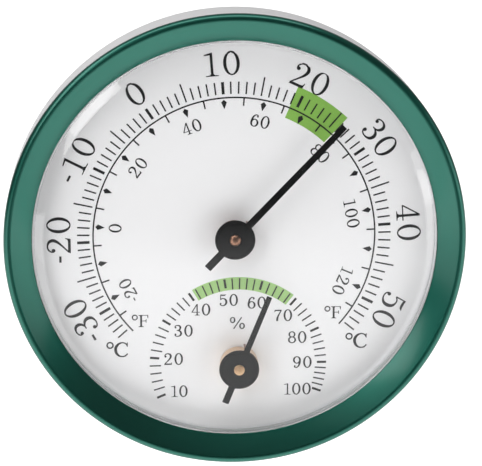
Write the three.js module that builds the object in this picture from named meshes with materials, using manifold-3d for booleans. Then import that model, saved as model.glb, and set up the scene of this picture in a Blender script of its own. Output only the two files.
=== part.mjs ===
// A round wall and desk thermo-hygrometer: a white housing, a green metal bezel, a domed lens, a printed
// dial with a large temperature scale and a small humidity scale, two spiral-coil movements, and a
// fold-out leg. Millimetres, +Z up, the dial faces -Y. The origin is the centre of the flat back, on the
// dial's axis, so a wall would be the plane y = 0, and the temperature pointer turns on the Y axis.
import * as THREE from "three";
import { mergeVertices } from "three/addons/utils/BufferGeometryUtils.js";
import Module from "manifold-3d";

const wasm = await Module();
wasm.setup();

// Driving dimensions: the case.
const BEZEL_R = 50.3; // widest radius of the metal bezel
const CASE_R = 50.1; // side of the housing
const WINDOW_R = 44.15; // inner edge of the bezel
const DIAL_Y = -14; // printed face of the dial card
const LIP_DEPTH = 4.4; // the bezel's inner edge stands this far in front of the card
const CREST_DEPTH = 7; // the bezel's highest ridge, in front of the card
const LENS_DEPTH = 8; // the lens's crown, in front of the card
const BACK_FLAT_R = 40.1; // flat of the back, inside its rounded edge
const ROUND_START_Y = -11; // where the side starts to round towards the back
const COVER_R = 38;
const COVER_T = 2;
const GAP = 0.3; // clearance between pieces that touch

// Driving dimensions: the movements. The humidity one is the lower and stands a little higher.
const HUMIDITY_Z = -29.25;
const TEMPERATURE_HUB = 3.9; // front of the pointer's hub, in front of the card
const HUMIDITY_HUB = 4.9;
const HUB_R = 4.4;
const TEMPERATURE_ANGLE = 44.8; // pointer angles at rest, from +X, anticlockwise seen from the front
const HUMIDITY_ANGLE = 66.4;

// Driving dimensions: the back.
const LEG_HINGE_Z = -7;
const LEG_TIP_Z = -44.8;
const LEG_HALF = 10;
const PIVOT_Y = -1.6;
const POCKET_Y = -3.1; // floor of the leg's pocket
const POCKET_HALF = LEG_HALF + 0.4;
const TUB_HALF = POCKET_HALF + 1.8;
const SCREW_XZ = 25.2; // the four cover screws are at the corners of a square
const KEYHOLE_Z = 26;

const RING_SEGMENTS = 64;
const LENS_SEGMENTS = 48;
const SMALL_SEGMENTS = 16;

const white = new THREE.MeshStandardMaterial({ color: 0xf1f1ee, roughness: 0.45, metalness: 0 });
const green = new THREE.MeshStandardMaterial({ color: 0x1f6b57, roughness: 0.28, metalness: 1 });
const clear = new THREE.MeshStandardMaterial({
  color: 0xffffff,
  roughness: 0.03,
  metalness: 0,
  transparent: true,
  opacity: 0.2,
});
const paper = new THREE.MeshStandardMaterial({ color: 0xf4f4f3, roughness: 0.6, metalness: 0 });
const aluminium = new THREE.MeshStandardMaterial({ color: 0xb9bcc0, roughness: 0.4, metalness: 1 });
const charcoal = new THREE.MeshStandardMaterial({ color: 0x2b2b2d, roughness: 0.5, metalness: 0 });
const brass = new THREE.MeshStandardMaterial({ color: 0xc79a4e, roughness: 0.3, metalness: 1 });
const bimetal = new THREE.MeshStandardMaterial({ color: 0x9b7a5c, roughness: 0.35, metalness: 1 });
const copper = new THREE.MeshStandardMaterial({ color: 0xc98a5a, roughness: 0.3, metalness: 1 });
const steel = new THREE.MeshStandardMaterial({ color: 0xa8abae, roughness: 0.35, metalness: 1 });

const object = new THREE.Group();

// ---- Shape helpers ----

// A solid of revolution about the Y axis from [radius, y] points, anticlockwise round its section.
function turned(points, segments) {
  const section = points.map(([r, y]) => new THREE.Vector2(r, y));
  if (points[0][0] > 0) section.push(section[0].clone());
  return new THREE.LatheGeometry(section, segments);
}

// A plate: a shape drawn in (x, z), thick towards -Y from yBack.
function plate(shape, yBack, thickness, curveSegments = 6) {
  const settings = { depth: thickness, bevelEnabled: false, curveSegments };
  const geometry = new THREE.ExtrudeGeometry(shape, settings);
  return geometry.rotateX(Math.PI / 2).translate(0, yBack, 0);
}

// A box between two corners.
function block(low, high) {
  const size = high.map((value, i) => value - low[i]);
  const centre = high.map((value, i) => (value + low[i]) / 2);
  return new THREE.BoxGeometry(...size).translate(...centre);
}

// A round bar along Y between two y values.
function barY(radius, x, z, yLow, yHigh, segments = SMALL_SEGMENTS) {
  const geometry = new THREE.CylinderGeometry(radius, radius, yHigh - yLow, segments);
  return geometry.translate(x, (yLow + yHigh) / 2, z);
}

// A round bar along X, centred on x = 0.
function barX(radius, y, z, length, segments = SMALL_SEGMENTS) {
  const geometry = new THREE.CylinderGeometry(radius, radius, length, segments);
  return geometry.rotateZ(Math.PI / 2).translate(0, y, z);
}

// Points of an elliptical arc in a section, angles in degrees.
function arc(centre, radii, from, to, steps) {
  const points = [];
  for (let i = 0; i <= steps; i++) {
    const angle = THREE.MathUtils.degToRad(from + ((to - from) * i) / steps);
    points.push([centre[0] + radii[0] * Math.cos(angle), centre[1] + radii[1] * Math.sin(angle)]);
  }
  return points;
}

function solid(geometry) {
  const bare = geometry.index ? geometry.toNonIndexed() : geometry.clone();
  bare.deleteAttribute("normal");
  bare.deleteAttribute("uv");
  const merged = mergeVertices(bare, 1e-4);
  return new wasm.Manifold(
    new wasm.Mesh({
      numProp: 3,
      vertProperties: merged.attributes.position.array,
      triVerts: new Uint32Array(merged.index.array),
    }),
  );
}

function geometryOf(manifold) {
  const mesh = manifold.getMesh();
  const geometry = new THREE.BufferGeometry();
  geometry.setAttribute("position", new THREE.BufferAttribute(mesh.vertProperties, 3));
  geometry.setIndex(new THREE.BufferAttribute(mesh.triVerts, 1));
  const flat = geometry.toNonIndexed();
  flat.computeVertexNormals();
  return flat;
}

// Joins the added geometries and cuts the others away.
function carved(added, cut) {
  let result = solid(added[0]);
  added.slice(1).forEach((geometry) => {
    result = result.add(solid(geometry));
  });
  cut.forEach((geometry) => {
    result = result.subtract(solid(geometry));
  });
  return geometryOf(result);
}

function add(name, geometry, material) {
  const mesh = new THREE.Mesh(geometry, material);
  mesh.name = name;
  object.add(mesh);
  return mesh;
}

// ---- Case ----

const LIP_Y = DIAL_Y - LIP_DEPTH;
const CREST_Y = DIAL_Y - CREST_DEPTH;
const SHOULDER = 1.25; // radius of the bezel's outer edge
const RIM_Y = CREST_Y + SHOULDER; // back of the bezel's rim
const SKIRT_OUT = CASE_R - 1.9;
const SKIRT_IN = SKIRT_OUT - 1;
const SKIRT_Y = DIAL_Y - 1.2; // the skirt plugs into the housing down to here
const SEAT_Y = LIP_Y + 0.5; // the bezel's face presses the lens here
const FLANGE_R = SKIRT_IN - GAP; // lens, spacer, card and plate share this radius
const FLANGE_T = 1.1;
const CARD_T = 0.3;
const PLATE_T = 0.6;
const PLATE_Y = DIAL_Y + CARD_T + GAP; // front of the aluminium plate behind the card
const LEDGE_Y = PLATE_Y + PLATE_T + GAP;
const REBATE_Y = -COVER_T - GAP;

// The face slopes inwards from the ridge at its outer edge down to the window.
function bezel() {
  const roll = 0.3;
  const face = [
    [WINDOW_R, SEAT_Y],
    [WINDOW_R, LIP_Y],
    [WINDOW_R + roll, LIP_Y - roll],
  ];
  const ridge = arc([BEZEL_R - SHOULDER, RIM_Y], [SHOULDER, SHOULDER], -117, 0, 6);
  const rear = [
    [SKIRT_OUT, RIM_Y],
    [SKIRT_OUT, SKIRT_Y],
    [SKIRT_IN, SKIRT_Y],
    [SKIRT_IN, SEAT_Y],
  ];
  return turned([...face, ...ridge, ...rear], RING_SEGMENTS);
}

// A shallow dome with a bevelled edge, on a flange that the bezel presses down.
function lens() {
  const crownY = DIAL_Y - LENS_DEPTH;
  const rise = 1.9; // of the crown over the shoulder
  const wall = 1.1;
  const shoulderR = WINDOW_R - 2.25;
  const shoulderY = crownY + rise;
  const sideR = WINDOW_R - GAP;
  const flangeY = SEAT_Y + GAP;
  const bevelY = flangeY - 0.7;
  const crown = (y) => [0, 0.25, 0.45, 0.65, 0.85].map((t) => [t * shoulderR, y + rise * t * t]);
  return turned(
    [
      ...crown(crownY),
      [shoulderR, shoulderY],
      [sideR, bevelY],
      [sideR, flangeY],
      [FLANGE_R, flangeY],
      [FLANGE_R, flangeY + FLANGE_T],
      [sideR - wall, flangeY + FLANGE_T],
      [sideR - wall, bevelY + wall / 2],
      [shoulderR - 0.4, shoulderY + wall],
      ...crown(crownY + wall).reverse(),
    ],
    LENS_SEGMENTS,
  );
}

function spacerRing() {
  const front = SEAT_Y + GAP + FLANGE_T + GAP;
  const back = DIAL_Y - GAP;
  const inner = WINDOW_R + GAP;
  return turned(
    [
      [inner, front],
      [FLANGE_R, front],
      [FLANGE_R, back],
      [inner, back],
    ],
    RING_SEGMENTS,
  );
}

// A round sheet with one hole on each pivot.
function dialSheet(yBack, thickness, holeR) {
  const shape = new THREE.Shape().absarc(0, 0, FLANGE_R, 0, 2 * Math.PI);
  [0, HUMIDITY_Z].forEach((z) => {
    shape.holes.push(new THREE.Path().absarc(0, z, holeR, 0, 2 * Math.PI, true));
  });
  return plate(shape, yBack, thickness, RING_SEGMENTS / 2);
}

const screwPlaces = [
  [SCREW_XZ, SCREW_XZ],
  [-SCREW_XZ, SCREW_XZ],
  [-SCREW_XZ, -SCREW_XZ],
  [SCREW_XZ, -SCREW_XZ],
];

function housing() {
  const round = BACK_FLAT_R;
  const wall = 1.6;
  const mouthR = CASE_R - wall;
  const flangeIn = COVER_R - 4.2;
  const flangeY = -4.6;
  const ledgeIn = WINDOW_R + 1;
  const ledgeT = 1.6;
  const shell = turned(
    [
      [mouthR, RIM_Y + GAP],
      [CASE_R, RIM_Y + GAP],
      ...arc([round, ROUND_START_Y], [CASE_R - round, -ROUND_START_Y], 0, 90, 8),
      [COVER_R + GAP, 0],
      [COVER_R + GAP, REBATE_Y],
      [flangeIn, REBATE_Y],
      [flangeIn, flangeY],
      ...arc([COVER_R + 1, ROUND_START_Y], [mouthR - COVER_R - 1, flangeY - ROUND_START_Y], 90, 0, 6),
      [mouthR, LEDGE_Y + ledgeT],
      [ledgeIn, LEDGE_Y + ledgeT],
      [ledgeIn, LEDGE_Y],
      [mouthR, LEDGE_Y],
    ],
    RING_SEGMENTS,
  );
  const bossY = -9;
  const bosses = screwPlaces.map(([x, z]) => barY(2.8, x, z, bossY, REBATE_Y - 0.2));
  const pilots = screwPlaces.map(([x, z]) => barY(1.3, x, z, bossY - 1, 1));
  const tubSlot = block([-TUB_HALF - GAP, flangeY - 0.5, -COVER_R - 1], [TUB_HALF + GAP, 1, -25]);
  const legPocket = block([-POCKET_HALF, POCKET_Y, LEG_TIP_Z - 1.5], [POCKET_HALF, 1, -30]);
  return carved([shell, ...bosses], [...pilots, tubSlot, legPocket]);
}

function ventSlot(x) {
  const half = 1;
  const reach = 7;
  const slot = new THREE.Shape();
  slot.absarc(x, reach, half, 0, Math.PI);
  slot.absarc(x, -reach, half, Math.PI, 2 * Math.PI);
  slot.closePath();
  return plate(slot, 1, COVER_T + 2);
}

// A round hole that the head of a nail passes, with a narrower slot above it to hang by.
function keyhole() {
  const headR = 4.2;
  const neck = 2.1;
  const neckZ = KEYHOLE_Z + 6.5;
  const join = Math.asin(neck / headR);
  const hole = new THREE.Shape();
  hole.absarc(0, KEYHOLE_Z, headR, Math.PI / 2 + join, Math.PI / 2 - join + 2 * Math.PI);
  hole.absarc(0, neckZ, neck, 0, Math.PI);
  hole.closePath();
  return plate(hole, 1, COVER_T + 2, 8);
}

function rearCover() {
  const vents = [16, 20, 24, 28].flatMap((x) => [ventSlot(x), ventSlot(-x)]);
  const tubY = -4.6;
  const tubTop = LEG_HINGE_Z + 3.6;
  const tub = solid(block([-TUB_HALF, tubY, -COVER_R], [TUB_HALF, -0.5, tubTop]));
  const roundTub = tub.intersect(solid(barY(COVER_R, 0, 0, tubY - 1, 1, RING_SEGMENTS)));
  const holes = screwPlaces.flatMap(([x, z]) => [barY(1.35, x, z, -3, 1), barY(2.7, x, z, -1.3, 1)]);
  return carved(
    [barY(COVER_R, 0, 0, -COVER_T, 0, RING_SEGMENTS), geometryOf(roundTub)],
    [
      ...holes,
      ...vents,
      keyhole(),
      block([-POCKET_HALF, POCKET_Y, -COVER_R - 1], [POCKET_HALF, 1, LEG_HINGE_Z + 2]),
      barX(0.9, PIVOT_Y, LEG_HINGE_Z, 2 * TUB_HALF + 2, 12),
      barY(2.6, 0, HUMIDITY_Z, tubY - 1, 0),
    ],
  );
}

function coverScrew(x, z) {
  const head = turned(
    [
      [0, -8],
      [0.6, -7.6],
      [1, -6.8],
      [1, -1],
      [2.3, -1],
      [2.3, -0.5],
      [1.7, -0.15],
      [0, -0.1],
    ],
    16,
  ).translate(x, 0, z);
  const long = 1.3;
  const thin = 0.3;
  return carved(
    [head],
    [
      block([x - long, -0.7, z - thin], [x + long, 1, z + thin]),
      block([x - thin, -0.7, z - long], [x + thin, 1, z + long]),
    ],
  );
}

function standLeg() {
  const tipHalf = 7;
  const corner = 3;
  const shape = new THREE.Shape();
  shape.moveTo(-LEG_HALF, LEG_HINGE_Z);
  shape.lineTo(-tipHalf, LEG_TIP_Z + corner);
  shape.quadraticCurveTo(-tipHalf, LEG_TIP_Z, -tipHalf + corner, LEG_TIP_Z);
  shape.lineTo(tipHalf - corner, LEG_TIP_Z);
  shape.quadraticCurveTo(tipHalf, LEG_TIP_Z, tipHalf, LEG_TIP_Z + corner);
  shape.lineTo(LEG_HALF, LEG_HINGE_Z);
  shape.closePath();
  const backY = -0.35;
  return carved(
    [plate(shape, backY, 2.3, 4), barX(1.25, PIVOT_Y, LEG_HINGE_Z, 2 * LEG_HALF)],
    [barX(0.9, PIVOT_Y, LEG_HINGE_Z, 2 * LEG_HALF + 2, 12)],
  );
}

add("housing", housing(), white);
add("rear_cover", rearCover(), white);
screwPlaces.forEach(([x, z], i) => {
  add(`cover_screw_${i + 1}`, coverScrew(x, z), steel);
});
add("bezel", bezel(), green);
add("lens", lens(), clear);
add("spacer_ring", spacerRing(), white);
add("dial_card", dialSheet(DIAL_Y + CARD_T, CARD_T, 2.6), paper);
add("dial_plate", dialSheet(PLATE_Y + PLATE_T, PLATE_T, 1.5), aluminium);
add("stand_leg", standLeg(), white);
add("stand_hinge_pin", barX(0.6, PIVOT_Y, LEG_HINGE_Z, 2 * TUB_HALF - 0.6, 12), steel);

// ---- Movements ----

const HUB_T = 0.4;
const WASHER_T = 0.3;
const TEMPERATURE_COIL_R = 4.05;
const HUMIDITY_COIL_R = 4.5;
const COIL_IN = 1.5;
const COIL_Y = DIAL_Y - GAP; // back of the coil

// The brass post that everything turns on: a head behind the plate, a collar in front of it, a core for
// the coil's inner end, and a fine pin whose cap keeps the pointer on. The cap's points are [radius,
// height] over the pointer's hub.
function post(hubDepth, headFront, headR, cap) {
  const hubY = DIAL_Y - hubDepth;
  const pin = 0.45;
  return turned(
    [
      ...cap.map(([r, height]) => [r, hubY - height]),
      [pin, hubY - 0.1],
      [pin, hubY + 1.7],
      [1, hubY + 1.7],
      [1, DIAL_Y - 0.1],
      [2.2, DIAL_Y - 0.1],
      [2.2, PLATE_Y - 0.05],
      [1.2, PLATE_Y - 0.05],
      [1.2, headFront],
      [headR, headFront],
      [headR, headFront + 1.3],
      [0, headFront + 1.3],
    ],
    SMALL_SEGMENTS,
  );
}

// A flat strip wound in a spiral round the post. It ends under the pointer's arm, inside the clip.
function coil(hubDepth, outerR, endAngle) {
  const strip = 0.22;
  const turns = 5;
  const stepsPerTurn = 14;
  const steps = turns * stepsPerTurn;
  const edge = (offset) => {
    const points = [];
    for (let i = 0; i <= steps; i++) {
      const t = i / steps;
      const radius = COIL_IN + (outerR - strip - COIL_IN) * t + offset;
      const angle = THREE.MathUtils.degToRad(endAngle) + 2 * Math.PI * turns * t;
      points.push(new THREE.Vector2(radius * Math.cos(angle), radius * Math.sin(angle)));
    }
    return points;
  };
  const outline = [...edge(strip), ...edge(0).reverse()];
  const height = hubDepth - HUB_T - 2 * GAP;
  return plate(new THREE.Shape(outline), COIL_Y, height);
}

// A pointer: a round hub with a tapering arm and a short tail, drawn pointing along +X.
function pointer(hubDepth, size) {
  const arm = new THREE.Shape();
  arm.moveTo(-size.tail, -size.tailWidth / 2);
  arm.lineTo(0, -size.tailWidth / 2);
  arm.lineTo(0, -size.rootWidth / 2);
  arm.lineTo(size.reach, -size.tipWidth / 2);
  arm.lineTo(size.reach, size.tipWidth / 2);
  arm.lineTo(0, size.rootWidth / 2);
  arm.lineTo(0, size.tailWidth / 2);
  arm.lineTo(-size.tail, size.tailWidth / 2);
  arm.closePath();
  const back = DIAL_Y - hubDepth + HUB_T;
  const hub = new THREE.Shape().absarc(0, 0, HUB_R, 0, 2 * Math.PI);
  const bore = barY(0.7, 0, 0, back - 1, back + 1);
  return carved([plate(hub, back, HUB_T, 18), plate(arm, back, HUB_T)], [bore]);
}

function bush(hubDepth) {
  const back = DIAL_Y - hubDepth + HUB_T + GAP + 0.7;
  const ring = new THREE.Shape().absarc(0, 0, 1.15, 0, 2 * Math.PI);
  ring.holes.push(new THREE.Path().absarc(0, 0, 0.7, 0, 2 * Math.PI, true));
  return plate(ring, back, 0.7, 10);
}

// The tab under the hub's rim that holds the outer end of the coil.
function clip(hubDepth, coilR) {
  const half = 8;
  const sector = new THREE.Shape();
  const low = THREE.MathUtils.degToRad(-half);
  const high = THREE.MathUtils.degToRad(half);
  sector.absarc(0, 0, coilR + 0.45, low, high);
  sector.absarc(0, 0, coilR + 0.15, high, low, true);
  sector.closePath();
  const reach = hubDepth - HUB_T - GAP - 0.9;
  return plate(sector, DIAL_Y - 0.9, reach, 4);
}

function washer() {
  const ring = new THREE.Shape().absarc(0, 0, 2.9, 0, 2 * Math.PI);
  ring.holes.push(new THREE.Path().absarc(0, 0, 1.5, 0, 2 * Math.PI, true));
  return plate(ring, LEDGE_Y + WASHER_T, WASHER_T, 10);
}

// Places a movement's pieces at its pivot; the pointer's own pieces are turned to its reading.
function movement(prefix, z, angle, pieces) {
  pieces.forEach(([name, geometry, material, turns]) => {
    const mesh = add(`${prefix}_${name}`, geometry, material);
    mesh.position.z = z;
    mesh.rotation.y = turns ? -THREE.MathUtils.degToRad(angle) : 0;
  });
}

const domedCap = arc([0, 0.1], [1.3, 0.8], 90, 0, 4);
const dimpledCap = [
  [0, 0.2],
  [0.25, 0.4],
  [1, 0.42],
  [1.18, 0.3],
  [1.18, 0.1],
];
const temperatureArm = { reach: 34.6, rootWidth: 1.6, tipWidth: 1.3, tail: 8.75, tailWidth: 1.65 };
const humidityArm = { reach: 17.8, rootWidth: 1.35, tipWidth: 1.15, tail: 8.25, tailWidth: 1.45 };

movement("temperature", 0, TEMPERATURE_ANGLE, [
  ["post", post(TEMPERATURE_HUB, LEDGE_Y, 2.6, domedCap), brass, false],
  ["coil", coil(TEMPERATURE_HUB, TEMPERATURE_COIL_R, TEMPERATURE_ANGLE), bimetal, false],
  ["bush", bush(TEMPERATURE_HUB), brass, true],
  ["clip", clip(TEMPERATURE_HUB, TEMPERATURE_COIL_R), brass, true],
  ["pointer", pointer(TEMPERATURE_HUB, temperatureArm), charcoal, true],
]);

const slottedPost = carved(
  [post(HUMIDITY_HUB, LEDGE_Y + WASHER_T + GAP, 3, dimpledCap)],
  [block([-4, LEDGE_Y + 1.2, -0.4], [4, LEDGE_Y + 3, 0.4])],
);

movement("humidity", HUMIDITY_Z, HUMIDITY_ANGLE, [
  ["adjuster_post", slottedPost, brass, false],
  ["spring_washer", washer(), steel, false],
  ["coil", coil(HUMIDITY_HUB, HUMIDITY_COIL_R, HUMIDITY_ANGLE), copper, false],
  ["bush", bush(HUMIDITY_HUB), brass, true],
  ["clip", clip(HUMIDITY_HUB, HUMIDITY_COIL_R), brass, true],
  ["pointer", pointer(HUMIDITY_HUB, humidityArm), charcoal, true],
]);

export default object;
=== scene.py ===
"""The looks of a round wall thermo-hygrometer: green bezel, domed lens, printed dial, two movements.

Shapes are written in millimetres in the frame of the CAD model: +Z up, the dial faces -Y, and the origin
is the centre of the flat back. Sizes that the CAD model fixes are read from its nodes' boxes.
"""
import math

import bmesh
import bpy
from mathutils import Matrix, Quaternion, Vector


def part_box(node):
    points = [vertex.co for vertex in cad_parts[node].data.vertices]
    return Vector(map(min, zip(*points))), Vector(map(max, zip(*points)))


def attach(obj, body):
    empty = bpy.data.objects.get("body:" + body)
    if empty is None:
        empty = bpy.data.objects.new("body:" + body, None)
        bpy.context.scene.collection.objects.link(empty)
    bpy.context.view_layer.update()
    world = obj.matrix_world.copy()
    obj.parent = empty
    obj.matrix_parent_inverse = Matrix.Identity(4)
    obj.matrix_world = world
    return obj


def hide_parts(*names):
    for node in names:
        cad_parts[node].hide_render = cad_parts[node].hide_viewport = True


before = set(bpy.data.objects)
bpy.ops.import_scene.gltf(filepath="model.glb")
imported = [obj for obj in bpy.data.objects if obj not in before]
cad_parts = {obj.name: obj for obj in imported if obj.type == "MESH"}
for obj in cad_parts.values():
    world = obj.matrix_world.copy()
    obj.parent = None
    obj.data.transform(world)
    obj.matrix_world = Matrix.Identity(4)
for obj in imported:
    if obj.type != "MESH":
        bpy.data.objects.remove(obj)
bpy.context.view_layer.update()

MM = 0.001


def box_mm(node):
    """Lowest and highest corner of a CAD node, in millimetres."""
    low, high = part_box(node)
    return low / MM, high / MM


# Driving dimensions, from the CAD nodes.
BEZEL_LOW, BEZEL_HIGH = box_mm("bezel")
HOUSING_LOW, HOUSING_HIGH = box_mm("housing")
LENS_LOW, LENS_HIGH = box_mm("lens")
COVER_LOW, COVER_HIGH = box_mm("rear_cover")
LEG_LOW, LEG_HIGH = box_mm("stand_leg")
WASHER_LOW, WASHER_HIGH = box_mm("humidity_spring_washer")
SCREW_LOW, SCREW_HIGH = box_mm("cover_screw_1")

DIAL_Y = box_mm("dial_card")[0].y
BEZEL_R = BEZEL_HIGH.x
CASE_R = HOUSING_HIGH.x
COVER_R = COVER_HIGH.x
HUMIDITY_Z = (WASHER_LOW.z + WASHER_HIGH.z) / 2
SCREW_XZ = (SCREW_LOW.x + SCREW_HIGH.x) / 2
SCREW_PLACES = [(SCREW_XZ * a, SCREW_XZ * b) for a in (1, -1) for b in (1, -1)]
WINDOW_R = 44.15  # inner edge of the bezel
SKIRT_OUT = 48.2
SKIRT_IN = 47.2
HUB_R = 4.4
BUSH_BORE = 0.7
COIL_R = {"temperature": 4.05, "humidity": 4.5}
LEG_BARREL = 1.25
LEG_PIN_HOLE = 0.9
LEG_PIVOT_Y = -1.6
LEG_PIVOT_Z = LEG_HIGH.z - LEG_BARREL
LEG_POCKET = 10.4  # half its width
LEG_POCKET_Y = -3.1
TEMPERATURE_ANGLE = 44.8  # pointer angles at rest, from +X, anticlockwise seen from the front
HUMIDITY_ANGLE = 66.4

ROUND = 192  # segments of the large turned pieces
FINE_ROUND = 256  # of the bezel and the lens
SMALL_ROUND = 64
DEEP = -4  # y where cuts through the back begin
OUT = 1  # y where they end

# The view. The instrument is turned a little in its own plane.
ROLL = math.radians(1.6)
AZIMUTH = math.radians(-3.30)
ELEVATION = math.radians(14.47)
DISTANCE = 568.5
FOCAL = 193.74
AIM_RIGHT = 1.47  # how far the view's middle is from the dial's
AIM_UP = 0.61


# ---- Outlines ----


def polar(radius, angle, centre=(0, 0)):
    """Point at a radius and an angle in degrees."""
    a = math.radians(angle)
    return (centre[0] + radius * math.cos(a), centre[1] + radius * math.sin(a))


def arc(centre, radii, start, end, steps):
    """Points of an elliptical arc, angles in degrees."""
    points = []
    for i in range(steps + 1):
        a = math.radians(start + (end - start) * i / steps)
        points.append((centre[0] + radii[0] * math.cos(a), centre[1] + radii[1] * math.sin(a)))
    return points


def circle(radius, centre=(0, 0), steps=SMALL_ROUND):
    return arc(centre, (radius, radius), 0, 360, steps)[:-1]


def rounded(corners, closed=True):
    """An outline with its corners rounded. A corner is (a, b) or (a, b, radius)."""
    count = len(corners)
    outline = []
    for i, corner in enumerate(corners):
        here = Vector(corner[:2])
        radius = corner[2] if len(corner) > 2 else 0
        if radius == 0 or (not closed and i in (0, count - 1)):
            outline.append(tuple(here))
            continue
        before = (Vector(corners[i - 1][:2]) - here).normalized()
        after = (Vector(corners[(i + 1) % count][:2]) - here).normalized()
        half = before.angle(after) / 2
        bisector = (before + after).normalized()
        centre = here + bisector * (radius / math.sin(half))
        start = here + before * (radius / math.tan(half)) - centre
        end = here + after * (radius / math.tan(half)) - centre
        steps = max(3, math.ceil(math.degrees(math.pi - 2 * half) / 12))
        for k in range(steps + 1):
            outline.append(tuple(centre + start.slerp(end, k / steps) * radius))
    return outline


# ---- Meshes ----


def crease(data, smooth):
    """Marks the sharp edges. A broad face is smooth only with level neighbours, so it looks flat."""
    broad_area = 4  # square millimetres
    broad_smooth = 14  # degrees, as smooth is
    for edge in data.edges:
        broad = any(face.calc_area() > broad_area for face in edge.link_faces)
        edge.smooth = edge.calc_face_angle(math.pi) < math.radians(broad_smooth if broad else smooth)


def baked(name, data):
    """A mesh made from a bmesh, which is used up."""
    mesh = bpy.data.meshes.new(name)
    data.to_mesh(mesh)
    data.free()
    return mesh


def added(name, data):
    """A new object in the scene."""
    thing = bpy.data.objects.new(name, data)
    bpy.context.scene.collection.objects.link(thing)
    return thing


def piece(name, data, material, body, replaces=(), smooth=50):
    """Turns a bmesh in millimetres into a finished piece that rides on a body."""
    bmesh.ops.remove_doubles(data, verts=data.verts, dist=1e-5)
    bmesh.ops.recalc_face_normals(data, faces=data.faces)
    for face in data.faces:
        face.smooth = True
    crease(data, smooth)
    bmesh.ops.scale(data, vec=(MM, MM, MM), verts=data.verts)
    mesh = baked(name, data)
    mesh.materials.append(material)
    thing = added(name, mesh)
    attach(thing, body)
    if replaces:
        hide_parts(*replaces)


def turned(section, segments=ROUND, centre=(0, 0)):
    """A solid of revolution about the Y axis, or about a line beside it, from (radius, y) points."""
    data = bmesh.new()
    rings = []
    for radius, y in section:
        if radius < 1e-6:
            rings.append([data.verts.new((centre[0], y, centre[1]))])
            continue
        ring = []
        for k in range(segments):
            x, z = polar(radius, 360 * k / segments, centre)
            ring.append(data.verts.new((x, y, z)))
        rings.append(ring)
    pairs = list(zip(rings, rings[1:]))
    if len(rings[0]) > 1:
        pairs.append((rings[-1], rings[0]))
    for a, b in pairs:
        for k in range(segments):
            n = (k + 1) % segments
            corners = [a[k % len(a)], a[n % len(a)], b[n % len(b)], b[k % len(b)]]
            corners = list(dict.fromkeys(corners))
            if len(corners) > 2:
                data.faces.new(corners)
    return data


def prism(data, outline, front, back):
    """Adds a closed plate with an (x, z) outline between two y values."""
    near = [data.verts.new((x, front, z)) for x, z in outline]
    far = [data.verts.new((x, back, z)) for x, z in outline]
    data.faces.new(near)
    data.faces.new(far[::-1])
    for k in range(len(outline)):
        n = (k + 1) % len(outline)
        data.faces.new((near[k], far[k], far[n], near[n]))


def ribbon(data, left, right, front, back, closed=False):
    """Adds a closed strip between two edges of equal length."""
    rows = []
    for (lx, lz), (rx, rz) in zip(left, right):
        corners = ((lx, front, lz), (rx, front, rz), (rx, back, rz), (lx, back, lz))
        rows.append([data.verts.new(c) for c in corners])
    pairs = list(zip(rows, rows[1:]))
    if closed:
        pairs.append((rows[-1], rows[0]))
    for a, b in pairs:
        for k in range(4):
            n = (k + 1) % 4
            data.faces.new((a[k], a[n], b[n], b[k]))
    if not closed:
        data.faces.new(rows[0])
        data.faces.new(rows[-1][::-1])


def plate(outline, front, back):
    data = bmesh.new()
    prism(data, outline, front, back)
    return data


def box(low, high):
    corners = [(low[0], low[2]), (high[0], low[2]), (high[0], high[2]), (low[0], high[2])]
    return plate(corners, low[1], high[1])


def bar_x(radius, y, z, half, segments=SMALL_ROUND):
    """A round bar along X."""
    data = plate(circle(radius, steps=segments), -half, half)
    turn = Matrix.Translation((0, y, z)) @ Matrix.Rotation(math.pi / 2, 4, "Z")
    bmesh.ops.transform(data, matrix=turn, verts=data.verts)
    return data


def loose(data):
    """A temporary object from a bmesh, for booleans."""
    bmesh.ops.recalc_face_normals(data, faces=data.faces)
    return added("loose", baked("loose", data))


def carved(start, joined=(), cut=(), bevel=0):
    """Joins solids to the first, cuts others away, rounds the sharp edges, and returns a bmesh."""
    base = loose(start)
    tools = []
    for operation, solids in (("UNION", joined), ("DIFFERENCE", cut)):
        for data in solids:
            tool = loose(data)
            tools.append(tool)
            change = base.modifiers.new("cut", "BOOLEAN")
            change.operation = operation
            change.solver = "EXACT"
            change.object = tool
    if bevel:
        soften = base.modifiers.new("soften", "BEVEL")
        soften.width = bevel
        soften.segments = 2
        soften.limit_method = "ANGLE"
        soften.angle_limit = math.radians(35)
    evaluated = base.evaluated_get(bpy.context.evaluated_depsgraph_get())
    mesh = bpy.data.meshes.new_from_object(evaluated)
    result = bmesh.new()
    result.from_mesh(mesh)
    bpy.data.meshes.remove(mesh)
    for thing in [base, *tools]:
        spare = thing.data
        bpy.data.objects.remove(thing)
        bpy.data.meshes.remove(spare)
    return result


def placed(data, angle, z):
    """Turns a bmesh by an angle about the Y axis and lifts it to a pivot."""
    turn = Matrix.Translation((0, 0, z)) @ Matrix.Rotation(-math.radians(angle), 4, "Y")
    bmesh.ops.transform(data, matrix=turn, verts=data.verts)
    return data


# ---- Materials ----


def add_node(tree, kind, links=(), **settings):
    """A node with its settings, and (input, value or socket) pairs."""
    made = tree.nodes.new(kind)
    for key, value in settings.items():
        setattr(made, key, value)
    for key, value in links:
        if isinstance(value, bpy.types.NodeSocket):
            tree.links.new(value, made.inputs[key])
        else:
            made.inputs[key].default_value = value
    return made


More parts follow.
